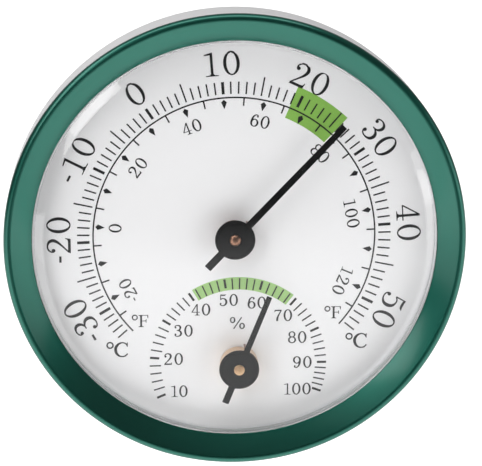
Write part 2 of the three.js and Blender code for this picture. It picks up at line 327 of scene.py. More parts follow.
class Look:
    """A Principled material with helpers for its nodes. Its inputs' names have _ for a space."""

    def __init__(self, name, **inputs):
        self.material = bpy.data.materials.new(name)
        self.material.use_nodes = True
        self.tree = self.material.node_tree
        self.shader = self.tree.nodes["Principled BSDF"]
        for key, value in inputs.items():
            self.shader.inputs[key.replace("_", " ")].default_value = value

    def node(self, kind, links=(), **settings):
        return add_node(self.tree, kind, links, **settings)

    def link(self, socket, key):
        self.tree.links.new(socket, self.shader.inputs[key])

    def place(self):
        return self.node("ShaderNodeTexCoord").outputs["Object"]

    def noise(self, scale, vector, detail=3.0, rough=0.55):
        links = (("Vector", vector), ("Scale", scale), ("Detail", detail), ("Roughness", rough))
        return self.node("ShaderNodeTexNoise", links).outputs["Fac"]

    def spread(self, value, low, high):
        """Maps a 0 to 1 value to a range."""
        links = (("Value", value), ("To Min", low), ("To Max", high))
        return self.node("ShaderNodeMapRange", links).outputs["Result"]

    def blend(self, factor, a, b):
        links = (("Factor", factor), (6, a), (7, b))
        return self.node("ShaderNodeMix", links, data_type="RGBA").outputs[2]

    def bump(self, height, strength, distance):
        links = (("Height", height), ("Strength", strength), ("Distance", distance))
        self.link(self.node("ShaderNodeBump", links).outputs["Normal"], "Normal")

    def round_place(self, along):
        """Place as (angle, radius, y), so that noise runs in rings. A small along makes long streaks."""
        split = self.node("ShaderNodeSeparateXYZ", (("Vector", self.place()),))
        x, y, z = split.outputs
        angle = self.node("ShaderNodeMath", ((0, z), (1, x)), operation="ARCTAN2").outputs[0]
        flat = self.node("ShaderNodeCombineXYZ", (("X", x), ("Y", z))).outputs[0]
        radius = self.node("ShaderNodeVectorMath", ((0, flat),), operation="LENGTH").outputs["Value"]
        turn = self.node("ShaderNodeMath", ((0, angle), (1, along)), operation="MULTIPLY").outputs[0]
        return self.node("ShaderNodeCombineXYZ", (("X", turn), ("Y", radius), ("Z", y))).outputs[0]


def moulded(name, colour, dark, roughness, gloss=0.45):
    """Moulded plastic with a fine spark-eroded texture and faint colour drift."""
    look = Look(name, Roughness=roughness, Specular_IOR_Level=gloss)
    place = look.place()
    drift = look.noise(60, place)
    look.link(look.blend(drift, colour, dark), "Base Color")
    look.link(look.spread(look.noise(900, place), roughness - 0.06, roughness + 0.08), "Roughness")
    look.bump(look.noise(3500, place, detail=2), 0.12, 0.00012)
    return look.material


def anodised():
    """Green anodised aluminium, turned, so its finish runs in rings under a clear sealed surface."""
    coat = {"Coat_Weight": 0.45, "Coat_Roughness": 0.15, "Coat_IOR": 1.5}
    look = Look("green_anodised", Metallic=1.0, Anisotropic=0.3, Anisotropic_Rotation=0.25, **coat)
    tangent = look.node("ShaderNodeTangent", direction_type="RADIAL", axis="Y")
    look.link(tangent.outputs[0], "Tangent")
    rings = look.round_place(0.012)
    fine = look.noise(2600, rings)
    broad = look.noise(350, rings, detail=2)
    cloud = look.noise(45, look.place())
    deep = look.blend(cloud, (0.0102, 0.095, 0.0685, 1), (0.0122, 0.106, 0.077, 1))
    worn = look.blend(look.spread(broad, 0.0, 0.4), deep, (0.0195, 0.122, 0.0915, 1))
    look.link(worn, "Base Color")
    look.link(look.spread(fine, 0.32, 0.43), "Roughness")
    look.bump(fine, 0.05, 0.00003)
    return look.material


def metal(name, colour, tint, roughness):
    """Bare metal with a fine grain and uneven tarnish."""
    scale = 1400
    look = Look(name, Metallic=1.0)
    place = look.place()
    look.link(look.blend(look.spread(look.noise(scale / 4, place), 0, 1), colour, tint), "Base Color")
    look.link(look.spread(look.noise(scale, place), roughness - 0.08, roughness + 0.1), "Roughness")
    look.bump(look.noise(scale * 2, place, detail=2), 0.1, 0.00003)
    return look.material


def turned_metal(name, colour, tint, roughness):
    """Lathe-turned metal, with rings round its own axis."""
    look = Look(name, Metallic=1.0)
    rings = look.round_place(0.002)
    grooves = look.noise(6000, rings, detail=2)
    look.link(look.blend(look.noise(1500, look.place()), colour, tint), "Base Color")
    look.link(look.spread(grooves, roughness - 0.08, roughness + 0.1), "Roughness")
    look.bump(grooves, 0.15, 0.00003)
    return look.material


def card_stock():
    """Coated white card: faint fibres and a soft sheen."""
    look = Look("printed_card", Roughness=0.55, Specular_IOR_Level=0.35)
    place = look.place()
    fibres = look.noise(2200, place, detail=4, rough=0.7)
    look.link(look.blend(fibres, (0.905, 0.9, 0.912, 1), (0.93, 0.925, 0.935, 1)), "Base Color")
    look.link(look.spread(look.noise(300, place), 0.5, 0.62), "Roughness")
    look.bump(fibres, 0.08, 0.00003)
    return look.material


def ink(name, colour, thin):
    """Screen-printed ink: its colour thins a little where the card's grain shows."""
    look = Look(name, Roughness=0.5, Specular_IOR_Level=0.3)
    grain = look.noise(2600, look.place(), detail=4, rough=0.7)
    look.link(look.blend(grain, colour, thin), "Base Color")
    look.link(look.spread(grain, 0.42, 0.6), "Roughness")
    look.bump(grain, 0.1, 0.00002)
    return look.material


def clear_plastic():
    """Clear lens. Light passes it straight, so the dial isn't left in the dark. It bends the view only a
    little, as a thin lens does, and its coat has the sheen of acrylic."""
    coat = {"Coat_Weight": 1.0, "Coat_Roughness": 0.02, "Coat_IOR": 1.49}
    look = Look("clear_lens", Roughness=0.02, IOR=1.06, Transmission_Weight=1.0, **coat)
    place = look.place()
    drift = look.noise(40, place)
    look.link(look.blend(drift, (0.985, 0.99, 0.988, 1), (0.995, 0.997, 0.996, 1)), "Base Color")
    look.bump(look.noise(25, place, detail=1), 0.008, 0.0004)
    path = look.node("ShaderNodeLightPath")
    lit = ((0, path.outputs["Is Shadow Ray"]), (1, path.outputs["Is Diffuse Ray"]))
    either = look.node("ShaderNodeMath", lit, operation="MAXIMUM").outputs[0]
    open_way = look.node("ShaderNodeBsdfTransparent", (("Color", (0.96, 0.96, 0.96, 1)),))
    links = ((0, either), (1, look.shader.outputs[0]), (2, open_way.outputs[0]))
    mixed = look.node("ShaderNodeMixShader", links)
    end = look.tree.nodes["Material Output"]
    look.tree.links.new(mixed.outputs[0], end.inputs["Surface"])
    return look.material


WHITE = moulded("white_plastic", (0.64, 0.635, 0.645, 1), (0.68, 0.675, 0.68, 1), 0.42)
# The spacer's plastic is grey, much darker than the case: painted shade for the wall under the bezel's
# lip.
RING_PAINTED_SHADE = moulded("ring_plastic", (0.34, 0.34, 0.35, 1), (0.38, 0.38, 0.39, 1), 0.5)
POINTER = moulded("pointer_black", (0.0035, 0.0035, 0.004, 1), (0.0055, 0.0055, 0.006, 1), 0.5, 0.12)
GREEN = anodised()
LENS = clear_plastic()
CARD = card_stock()
BLACK_INK = ink("ink_black", (0.008, 0.008, 0.009, 1), (0.018, 0.018, 0.019, 1))
SCALE_GREEN = ink("ink_green", (0.225, 0.47, 0.075, 1), (0.26, 0.5, 0.1, 1))
PALE_GREEN = ink("ink_pale_green", (0.36, 0.60, 0.21, 1), (0.4, 0.63, 0.25, 1))
BRASS = turned_metal("brass", (0.85, 0.58, 0.35, 1), (0.7, 0.44, 0.24, 1), 0.3)
CAP_COPPER = turned_metal("cap_copper", (0.3, 0.165, 0.11, 1), (0.2, 0.105, 0.07, 1), 0.28)
BIMETAL = metal("bimetal", (0.3, 0.17, 0.12, 1), (0.2, 0.11, 0.08, 1), 0.3)
COPPER = metal("copper_strip", (0.88, 0.66, 0.46, 1), (0.76, 0.54, 0.36, 1), 0.2)
STEEL = turned_metal("screw_steel", (0.5, 0.5, 0.51, 1), (0.42, 0.42, 0.43, 1), 0.32)
ALUMINIUM = metal("plate_aluminium", (0.62, 0.63, 0.65, 1), (0.55, 0.56, 0.58, 1), 0.4)


# ---- Case ----


def make_bezel():
    """A ring with a face that slopes in from a rounded ridge, and a skirt that plugs into the case."""
    lip = 0.3
    ridge = 1.2
    ridge_y = BEZEL_LOW.y - 0.78  # before it is rounded
    rim_y = BEZEL_LOW.y + 1.25
    inner_y = BEZEL_LOW.y + 2.4
    seat_y = BEZEL_LOW.y + 3.1
    section = rounded(
        [
            (WINDOW_R, seat_y, 0.05),
            (WINDOW_R, inner_y, lip),
            (BEZEL_R, ridge_y, ridge),
            (BEZEL_R, rim_y, 0.03),
            (SKIRT_OUT, rim_y),
            (SKIRT_OUT, BEZEL_HIGH.y, 0.2),
            (SKIRT_IN, BEZEL_HIGH.y, 0.2),
            (SKIRT_IN, seat_y),
        ]
    )
    ring = turned(section, FINE_ROUND)
    piece("bezel_ring", ring, GREEN, "case", ["bezel"], smooth=40)


def make_lens():
    """A shallow dome with a bevelled edge, on a flange that the bezel presses down."""
    crown = LENS_LOW.y
    rise = 1.9
    wall = 0.8
    side_wall = 0.45
    shoulder_r = WINDOW_R - 2.25
    side_r = WINDOW_R - 0.08
    flange_r = LENS_HIGH.x
    flange_y = LENS_HIGH.y - 1.1
    bevel_y = flange_y - 1.15
    soft = 0.14  # share of the bevel that each rounded end takes

    def dome(y):
        return [(shoulder_r * t, y + rise * t * t) for t in (k / 16 for k in range(16))]

    def bevel(t):
        return shoulder_r + (side_r - shoulder_r) * t, crown + rise + (bevel_y - crown - rise) * t

    section = rounded(
        [
            *dome(crown),
            (shoulder_r, crown + rise, 0.4),
            bevel(soft),
            bevel(1 - soft),
            (side_r, bevel_y, 0.3),
            (side_r, flange_y),
            (flange_r, flange_y, 0.1),
            (flange_r, LENS_HIGH.y, 0.1),
            (side_r - side_wall, LENS_HIGH.y),
            (side_r - side_wall, bevel_y + 0.55, 0.2),
            (shoulder_r - 0.3, crown + rise + wall, 0.3),
            *dome(crown + wall)[::-1],
        ],
        closed=False,
    )
    piece("lens_dome", turned(section, FINE_ROUND), LENS, "case", ["lens"], smooth=40)


def make_spacer():
    low, high = box_mm("spacer_ring")
    inner = WINDOW_R + 0.3
    corner = 0.25
    edges = ((inner, low.y), (high.x, low.y), (high.x, high.y), (inner, high.y))
    section = rounded([(*edge, corner) for edge in edges])
    # Its grey material is painted shade for the shaded wall under the bezel's lip.
    piece("spacer_band", turned(section), RING_PAINTED_SHADE, "case", ["spacer_ring"])


def make_housing():
    """A straight side that rounds in to a flat back, with a rebate for the cover and four bosses."""
    wall = 1.6
    mouth = CASE_R - wall
    round_y = -11
    round_r = 40.1
    flange_y = -4.6
    flange_in = COVER_R - 4.2
    rebate = COVER_R + 0.3
    rebate_y = -2.3
    ledge_in = WINDOW_R + 1
    ledge_y = -12.5
    section = rounded(
        [
            (mouth, HOUSING_LOW.y, 0.3),
            (CASE_R, HOUSING_LOW.y, 0.3),
            *arc((round_r, round_y), (CASE_R - round_r, -round_y), 0, 90, 24),
            (rebate, 0, 0.25),
            (rebate, rebate_y),
            (flange_in, rebate_y, 0.2),
            (flange_in, flange_y, 0.2),
            *arc((COVER_R + 1, round_y), (mouth - COVER_R - 1, flange_y - round_y), 90, 0, 16),
            (mouth, ledge_y + wall),
            (ledge_in, ledge_y + wall, 0.2),
            (ledge_in, ledge_y, 0.2),
            (mouth, ledge_y),
        ]
    )
    boss_r = 2.8
    boss_y = -9
    pilot_r = 1.3
    bosses = [plate(circle(boss_r, p, 48), boss_y, rebate_y - 0.2) for p in SCREW_PLACES]
    pilots = [plate(circle(pilot_r, p, 32), boss_y - 1, OUT) for p in SCREW_PLACES]
    tub = 12.5
    tub_z = -25
    foot_z = -46.3
    tub_slot = box((-tub, flange_y - 0.5, -COVER_R - 1), (tub, OUT, tub_z))
    leg_pocket = box((-LEG_POCKET, LEG_POCKET_Y, foot_z), (LEG_POCKET, OUT, tub_z - 5))
    shell = carved(turned(section), bosses, [*pilots, tub_slot, leg_pocket])
    piece("housing_shell", shell, WHITE, "case", ["housing"])


def keyhole():
    """A round hole that a nail's head passes, with a narrower slot above it to hang by."""
    head = 4.2
    neck = 2.1
    z = 26
    rise = 6.5
    join = math.degrees(math.asin(neck / head))
    outline = arc((0, z), (head, head), 90 + join, 450 - join, 40)
    outline += arc((0, z + rise), (neck, neck), 0, 180, 20)
    return plate(outline, DEEP, OUT)


def vent(x):
    """An upright slot with round ends."""
    half = 1
    reach = 7
    outline = arc((x, reach), (half, half), 0, 180, 12)
    outline += arc((x, -reach), (half, half), 180, 360, 12)
    return plate(outline, DEEP, OUT)


def make_rear_cover():
    """A round plate with the keyhole, the vents, the screws' counterbores and the leg's pocket."""
    thick = 2
    shaft_r = 1.35
    counterbore_r = 2.7
    counterbore_y = -1.3
    setting_hole_r = 2.6
    tub = 12.2
    tub_y = COVER_LOW.y
    tub_top = LEG_PIVOT_Z + 3.6
    disc = plate(circle(COVER_R, steps=ROUND), -thick, 0)
    low_angle = math.degrees(math.asin(tub / COVER_R))
    tub_outline = arc((0, 0), (COVER_R, COVER_R), 270 - low_angle, 270 + low_angle, 24)
    tub_outline += [(tub, tub_top), (-tub, tub_top)]
    cuts = [plate(circle(shaft_r, p, 32), DEEP, OUT) for p in SCREW_PLACES]
    cuts += [plate(circle(counterbore_r, p, 48), counterbore_y, OUT) for p in SCREW_PLACES]
    cuts += [vent(x * side) for x in (16, 20, 24, 28) for side in (1, -1)]
    cuts.append(keyhole())
    cuts.append(box((-LEG_POCKET, LEG_POCKET_Y, -COVER_R - 1), (LEG_POCKET, OUT, LEG_PIVOT_Z + 2)))
    cuts.append(bar_x(LEG_PIN_HOLE, LEG_PIVOT_Y, LEG_PIVOT_Z, tub + 1, 32))
    cuts.append(plate(circle(setting_hole_r, (0, HUMIDITY_Z), 48), tub_y - 1, 0))
    cover = carved(disc, [plate(tub_outline, tub_y, -0.5)], cuts, bevel=0.15)
    piece("rear_cover_plate", cover, WHITE, "case", ["rear_cover"])


def make_screw(number):
    """A cross-recessed pan-head screw."""
    low, high = box_mm(f"cover_screw_{number}")
    centre = ((low.x + high.x) / 2, (low.z + high.z) / 2)
    head = (high.x - low.x) / 2
    shaft = 1
    seat_y = -1
    crown_y = -0.14
    section = rounded(
        [
            (0, low.y),
            (shaft - 0.4, low.y + 0.4),
            (shaft, low.y + 1.2),
            (shaft, seat_y),
            (head, seat_y, 0.1),
            (head, seat_y + 0.55, 0.25),
            (head - 0.6, crown_y, 0.5),
            (0, high.y),
        ],
        closed=False,
    )
    body = turned(section, 48, centre)
    long = 1.3
    thin = 0.3
    recess_y = -0.75
    arms = []
    for half_x, half_z in ((long, thin), (thin, long)):
        corner = (centre[0] - half_x, recess_y, centre[1] - half_z)
        arms.append(box(corner, (centre[0] + half_x, OUT, centre[1] + half_z)))
    screw = carved(body, cut=arms, bevel=0.05)
    piece(f"screw_{number}", screw, STEEL, "case", [f"cover_screw_{number}"])


def make_leg():
    """The fold-out leg: a tapering plate with a rounded foot, on a barrel round its pin."""
    root = LEG_HIGH.x
    tip = 7
    low_z = LEG_LOW.z
    back = LEG_HIGH.y
    thick = 2.3
    outline = rounded([(-root, LEG_PIVOT_Z), (-tip, low_z, 3), (tip, low_z, 3), (root, LEG_PIVOT_Z)])
    inset_root = root - 2.2
    inset_tip = tip - 2
    top = LEG_PIVOT_Z - 3.5
    low = low_z + 6.5
    places = [(-inset_root, top), (-inset_tip, low), (inset_tip, low), (inset_root, top)]
    inset = rounded([(x, z, 1.5) for x, z in places])
    cuts = [plate(inset, back - 0.35, OUT)]
    grip = 4.5
    grip_depth = 0.4
    for z in (low_z + 2.6, low_z + 4.4):
        cuts.append(box((-grip, back - grip_depth, z), (grip, OUT, z + 0.8)))
    cuts.append(bar_x(LEG_PIN_HOLE, LEG_PIVOT_Y, LEG_PIVOT_Z, root + 1, 32))
    barrel = bar_x(LEG_BARREL, LEG_PIVOT_Y, LEG_PIVOT_Z, root, 48)
    leg = carved(plate(outline, back - thick, back), [barrel], cuts, bevel=0.18)
    piece("leg_plate", leg, WHITE, "leg", ["stand_leg"])


# ---- Movements ----


def make_pointer(prefix, body, z, angle, arm):
    """A round hub with a fine groove, a tapering arm and a tail. arm is the arm's reach and its widths at
    root and tip, then the tail's length and width."""
    low, high = box_mm(f"{prefix}_pointer")
    front = low.y
    back = high.y
    groove = HUB_R - 0.55
    lip = 0.04
    section = rounded(
        [
            (BUSH_BORE, back),
            (BUSH_BORE, front, 0.05),
            (groove - 0.12, front, lip),
            (groove - 0.06, front + 0.1),
            (groove + 0.06, front + 0.1),
            (groove + 0.12, front, lip),
            (HUB_R, front, 0.14),
            (HUB_R, back, 0.08),
        ]
    )
    hub = turned(section, 128)
    reach, root, tip, tail, tail_width = arm
    inside = 2  # the blade stops here, inside the hub
    corner = 0.12
    half = [
        (-tail, tail_width / 2, corner),
        (-inside, tail_width / 2),
        (-inside, root / 2),
        (reach, tip / 2, corner),
    ]
    below = [(x, -across, *rest) for x, across, *rest in half]
    opening = plate(circle(inside, steps=48), front - 1, back + 1)
    blade = carved(plate(rounded(below + half[::-1]), front + 0.02, back), cut=[opening], bevel=0.07)
    whole = placed(carved(hub, [blade]), angle, z)
    piece(f"{prefix}_needle_blade", whole, POINTER, body, [f"{prefix}_pointer"])


def make_post(prefix, node, body, z, slotted, cap, material):
    """A turned post with a head behind the plate. The cap is a list of (radius, height over the hub)."""
    low, high = box_mm(node)
    hub_front = box_mm(f"{prefix}_pointer")[0].y
    head_r = (high.x - low.x) / 2
    head_y = high.y - 1.3
    pin = 0.45
    pin_end = hub_front + 1.7
    core = 1
    collar = 2.2
    collar_front = DIAL_Y - 0.1
    collar_back = DIAL_Y + 0.55
    shank = 1.2
    head = [(shank, head_y), (head_r, head_y, 0.15), (head_r, high.y, 0.3), (0, high.y)]
    section = [(r, hub_front - height) for r, height in cap]
    section += [
        (pin, hub_front - 0.1),
        (pin, pin_end),
        (core, pin_end),
        (core, collar_front),
        (collar, collar_front),
        (collar, collar_back),
        (shank, collar_back),
        *rounded(head, closed=False),
    ]
    shaft = turned(section, SMALL_ROUND)
    if slotted:
        slot = 0.4
        slot_y = high.y - 0.8
        shaft = carved(shaft, cut=[box((-4, slot_y, -slot), (4, high.y + 1, slot))])
    piece(f"{prefix}_post_turned", placed(shaft, 0, z), material, body, [node])


def make_coil(prefix, body, z, end_angle, material):
    """A flat strip wound in a spiral, from the post out to the clip."""
    low, high = box_mm(f"{prefix}_coil")
    inner = 1.5
    strip = 0.2
    outer = COIL_R[prefix] - strip
    turns = 5
    steps = turns * 48
    left = []
    right = []
    for i in range(steps + 1):
        t = i / steps
        radius = inner + (outer - inner) * t
        angle = end_angle + 360 * turns * t
        left.append(polar(radius, angle, (0, z)))
        right.append(polar(radius + strip, angle, (0, z)))
    data = bmesh.new()
    ribbon(data, left, right, low.y, high.y)
    piece(f"{prefix}_coil_strip", data, material, body, [f"{prefix}_coil"])


def make_bush(prefix, body, z):
    low, high = box_mm(f"{prefix}_bush")
    outer = 1.15
    edges = [(BUSH_BORE, low.y), (outer, low.y, 0.1), (outer, high.y, 0.1), (BUSH_BORE, high.y)]
    section = rounded(edges)
    piece(f"{prefix}_bush_turned", turned(section, 48, (0, z)), BRASS, body, [f"{prefix}_bush"])


def make_clip(prefix, body, z, angle):
    """The tab under the hub's rim that holds the coil's outer end."""
    low, high = box_mm(f"{prefix}_clip")
    inner = COIL_R[prefix] + 0.15
    outer = inner + 0.3
    half = 8
    outline = arc((0, 0), (outer, outer), -half, half, 10)
    outline += arc((0, 0), (inner, inner), half, -half, 10)
    tab = placed(carved(plate(outline, low.y, high.y), bevel=0.05), angle, z)
    piece(f"{prefix}_clip_tab", tab, BIMETAL, body, [f"{prefix}_clip"])


# ---- Print ----

INK_FRONT = DIAL_Y - 0.03
BAND_FRONT = DIAL_Y - 0.015
PRINT_BACK = DIAL_Y + 0.05
OVERPRINT = 0.002  # keeps the faces of crossing strokes apart
THIN = 0.33
BOLD = 0.62
CELL = 0.87  # width of a numeral whose height is 1


def spline(points):
    """A smooth path through (x, y, width) points."""
    if len(points) == 2:
        return [Vector(p) for p in points]
    steps = 6
    last = len(points) - 1
    result = []
    for i in range(last):
        a, b, c, d = (Vector(points[min(max(i + k, 0), last)]) for k in (-1, 0, 1, 2))
        for k in range(steps):
            t = k / steps
            near = b * 2 + (c - a) * t
            far = (a * 2 - b * 5 + c * 4 - d) * t * t + (b * 3 - a - c * 3 + d) * t**3
            result.append((near + far) / 2)
    result.append(Vector(points[-1]))
    return result


def pen(points):
    """Both edges of a pen stroke along a smooth path of (x, y, width) points."""
    path = spline(points)
    left = []
    right = []
    for i, here in enumerate(path):
        before = path[max(i - 1, 0)]
        after = path[min(i + 1, len(path) - 1)]
        way = (after - before).to_2d().normalized()
        side = Vector((-way.y, way.x)) * here.z / 2
        left.append(here.to_2d() + side)
        right.append(here.to_2d() - side)
    return left, right


def foot(x, half, stem, top=False):
    """A bracketed serif under a stem, or over it."""
    edge = stem / 2
    right = [(x + half, 0), (x + half, 0.035), (x + edge + 0.05, 0.05), (x + edge, 0.11)]
    left = [(2 * x - a, b) for a, b in right]
    outline = [left[0], *right, *left[:0:-1]]
    return [(a, 1 - b) for a, b in outline] if top else outline


# Numerals in a modern serif style, in a cell 1 high: pen strokes through (x, y, width) points, filled
# outlines, rings as (x, y, half width, half height, side, cap), and dots as (x, y, radius).
SIX = {
    "rings": [(0.455, 0.305, 0.315, 0.31, 0.12, 0.045)],
    "pen": [
        [
            (0.198, 0.3, 0.115), (0.215, 0.52, 0.12), (0.3, 0.8, 0.09), (0.45, 0.955, 0.05),
            (0.6, 0.955, 0.045), (0.68, 0.88, 0.045),
        ]
    ],
    "dots": [(0.635, 0.845, 0.072)],
}
GLYPHS = {
    "0": {"rings": [(0.435, 0.5, 0.34, 0.505, 0.122, 0.045)]},
    "1": {
        "fill": [
            foot(0.479, 0.27, 0.11),
            [
                (0.424, 0.05), (0.534, 0.05), (0.534, 0.995), (0.5, 0.995), (0.178, 0.925),
                (0.178, 0.885), (0.424, 0.9),
            ],
        ]
    },
    "2": {
        "pen": [
            [
                (0.15, 0.71, 0.05), (0.15, 0.83, 0.05), (0.25, 0.945, 0.055), (0.405, 0.978, 0.055),
                (0.575, 0.91, 0.105), (0.64, 0.755, 0.13), (0.575, 0.57, 0.1), (0.4, 0.36, 0.06),
                (0.22, 0.175, 0.05), (0.11, 0.05, 0.045),
            ]
        ],
        "fill": [
            [
                (0.076, 0.0), (0.705, 0.0), (0.745, 0.225), (0.705, 0.225), (0.675, 0.14), (0.6, 0.115),
                (0.14, 0.115),
            ],
        ],
        "dots": [(0.205, 0.725, 0.08)],
    },
    "3": {
        "pen": [
            [
                (0.17, 0.8, 0.045), (0.205, 0.915, 0.05), (0.385, 0.978, 0.048), (0.565, 0.915, 0.1),
                (0.625, 0.77, 0.122), (0.56, 0.615, 0.085), (0.425, 0.54, 0.045), (0.32, 0.53, 0.04),
            ],
            [
                (0.32, 0.53, 0.04), (0.46, 0.525, 0.045), (0.625, 0.435, 0.105), (0.685, 0.275, 0.132),
                (0.615, 0.105, 0.1), (0.43, 0.022, 0.048), (0.255, 0.045, 0.048), (0.155, 0.15, 0.05),
            ],
        ],
        "dots": [(0.225, 0.79, 0.072), (0.21, 0.19, 0.076)],
    },
    "4": {
        "pen": [[(0.12, 0.285, 0.045), (0.555, 0.985, 0.045)]],
        "fill": [
            [(0.505, 0.05), (0.61, 0.05), (0.61, 0.995), (0.565, 0.995), (0.505, 0.88)],
            [(0.1, 0.25), (0.775, 0.25), (0.775, 0.298), (0.1, 0.298)],
            foot(0.557, 0.205, 0.105),
        ],
    },
    "5": {
        "pen": [
            [(0.222, 0.93, 0.042), (0.202, 0.53, 0.042)],
            [
                (0.205, 0.535, 0.042), (0.32, 0.62, 0.05), (0.455, 0.632, 0.055), (0.625, 0.535, 0.108),
                (0.69, 0.325, 0.132), (0.62, 0.12, 0.1), (0.435, 0.022, 0.048), (0.26, 0.045, 0.048),
                (0.165, 0.15, 0.05),
            ],
        ],
        "fill": [
            [
                (0.2, 1.0), (0.36, 0.975), (0.52, 0.975), (0.68, 1.0), (0.6, 0.895), (0.5, 0.865),
                (0.36, 0.87), (0.2, 0.9),
            ],
        ],
        "dots": [(0.215, 0.195, 0.076)],
    },
    "6": SIX,
    "7": {
        "pen": [
            [
                (0.755, 0.93, 0.05), (0.62, 0.7, 0.055), (0.485, 0.44, 0.09), (0.415, 0.2, 0.125),
                (0.405, 0.0, 0.13),
            ],
        ],
        "fill": [
            [
                (0.17, 0.78), (0.205, 0.78), (0.25, 0.865), (0.32, 0.885), (0.775, 0.885),
                (0.775, 0.985), (0.2, 0.985),
            ],
        ],
    },
    "8": {"rings": [(0.445, 0.752, 0.275, 0.253, 0.09, 0.045), (0.45, 0.27, 0.325, 0.275, 0.105, 0.045)]},
    "-": {"fill": [[(0.0, 0.4), (0.27, 0.4), (0.27, 0.495), (0.0, 0.495)]]},
    "C": {
        "pen": [
            [
                (0.835, 0.755, 0.04), (0.735, 0.91, 0.05), (0.52, 0.977, 0.046), (0.275, 0.885, 0.1),
                (0.11, 0.68, 0.145), (0.078, 0.49, 0.155), (0.13, 0.26, 0.135), (0.3, 0.075, 0.08),
                (0.51, 0.022, 0.046), (0.71, 0.065, 0.05), (0.865, 0.215, 0.042),
            ]
        ],
        "fill": [
            [(0.835, 0.69), (0.872, 0.69), (0.88, 0.985), (0.845, 0.985), (0.8, 0.92), (0.77, 0.84)],
        ],
    },
    "F": {
        "fill": [
            foot(0.215, 0.215, 0.15),
            foot(0.215, 0.215, 0.15, top=True),
            [(0.14, 0.05), (0.29, 0.05), (0.29, 0.95), (0.14, 0.95)],
            [(0.2, 0.955), (0.77, 0.955), (0.77, 1.0), (0.2, 1.0)],
            [(0.77, 1.0), (0.7, 0.93), (0.745, 0.73), (0.785, 0.73), (0.785, 1.0)],
            [(0.25, 0.485), (0.6, 0.485), (0.6, 0.53), (0.25, 0.53)],
            [(0.56, 0.51), (0.605, 0.37), (0.64, 0.37), (0.64, 0.65), (0.605, 0.65)],
        ]
    },
    "%": {
        "rings": [(0.212, 0.755, 0.21, 0.245, 0.08, 0.05), (0.985, 0.24, 0.215, 0.24, 0.08, 0.05)],
        "pen": [[(0.29, -0.005, 0.05), (0.955, 0.99, 0.05)]],
    },
    "degree": {"rings": [(0.23, 0.8, 0.225, 0.225, 0.06, 0.06)]},
}
GLYPHS["9"] = {
    "rings": [(CELL - x, 1 - y, *sizes) for x, y, *sizes in SIX["rings"]],
    "pen": [[(CELL - x, 1 - y, width) for x, y, width in stroke] for stroke in SIX["pen"]],
    "dots": [(CELL - x, 1 - y, radius) for x, y, radius in SIX["dots"]],
}
GLYPHS["narrow 1"] = {"fill": [[(x - 0.07, y) for x, y in outline] for outline in GLYPHS["1"]["fill"]]}
ADVANCE = {"-": 0.32, "narrow 1": 0.72, "C": 0.9, "F": 0.8, "%": 1.2, "degree": 0.52}


def glyph(data, name, weight, to_dial):
    """Adds a glyph's closed solids, placed on the dial by to_dial. Weight thickens its strokes."""
    shape = GLYPHS[name]
    grow = weight / 2
    for x, y, half_x, half_y, side, cap in shape.get("rings", ()):
        outer = arc((x, y), (half_x + grow, half_y + grow), 0, 360, 40)[:-1]
        inner = arc((x, y), (half_x - side - grow, half_y - cap - grow), 0, 360, 40)[:-1]
        ribbon(data, map(to_dial, outer), map(to_dial, inner), INK_FRONT, PRINT_BACK, True)
    for k, stroke in enumerate(shape.get("pen", ())):
        left, right = pen([(x, y, width + weight) for x, y, width in stroke])
        ribbon(data, map(to_dial, left), map(to_dial, right), INK_FRONT - OVERPRINT * (k + 1), PRINT_BACK)
    for k, outline in enumerate(shape.get("fill", ())):
        prism(data, list(map(to_dial, outline)), INK_FRONT - OVERPRINT * (k + 4), PRINT_BACK)
    for x, y, radius in shape.get("dots", ()):
        outline = circle(radius, (x, y), 24)
        prism(data, list(map(to_dial, outline)), INK_FRONT - OVERPRINT * 7, PRINT_BACK)


def spoke(angle):
    """Unit vectors along a radius and across it, for an angle in degrees."""
    out = Vector(polar(1, angle))
    return out, Vector((-out.y, out.x))


def word(data, names, height, centre, angle=0.0, weight=0.035):
    """Writes glyphs in a row, centred on a place on the dial and turned by an angle in degrees."""
    total = sum(ADVANCE.get(n, CELL) for n in names)
    along, up = spoke(angle)
    pen_x = -total / 2
    for name in names:

        def to_dial(point, start=pen_x):
            flat = along * ((point[0] + start) * height) + up * ((point[1] - 0.5) * height)
            return (centre[0] + flat.x, centre[1] + flat.y)

        glyph(data, name, weight, to_dial)
        pen_x += ADVANCE.get(name, CELL)


def level_word(data, names, height, place):
    """Writes level, at a place that is measured with the instrument turned by ROLL."""
    x, z = place
    centre = (x * math.cos(ROLL) + z * math.sin(ROLL), -x * math.sin(ROLL) + z * math.cos(ROLL))
    word(data, names, height, centre, -math.degrees(ROLL))


def tick(data, angle, inner, outer, width, centre=(0, 0)):
    """Adds a radial line."""
    out, across = spoke(angle)
    side = across * width / 2
    middle = Vector(centre)
    corners = [out * inner - side, out * outer - side, out * outer + side, out * inner + side]
    prism(data, [middle + corner for corner in corners], INK_FRONT, PRINT_BACK)


def kite(data, angle, tail, tip, half):
    """Adds a kite that points to the dial's centre, widest near its outer end."""
    out, side = spoke(angle)
    wide = tail + (tip - tail) * 0.72
    corners = [out * tail, out * wide - side * half, out * tip, out * wide + side * half]
    prism(data, corners, INK_FRONT, PRINT_BACK)


def band(data, inner, outer, start, end, front, centre=(0, 0)):
    """Adds an arc band between two angles in degrees."""
    steps = max(8, round(abs(end - start)))
    left = arc(centre, (inner, inner), start, end, steps)
    right = arc(centre, (outer, outer), start, end, steps)
    ribbon(data, left, right, front, PRINT_BACK)


ARC_R = 30.9  # the line between the two temperature scales
CELSIUS_R = 31.7
CELSIUS_SHORT = 34.4
CELSIUS_LONG = 35.9


def celsius_angle(t):
    """Angle of a temperature on the large scale, which closes up a little towards its hot end."""
    return 92.66 - 2.968 * (t - 10) - 0.001655 * (t - 10) ** 2


def printed(name, data, material=BLACK_INK):
    """A finished piece of print, with flat faces."""
    piece(name, data, material, "case", smooth=1)


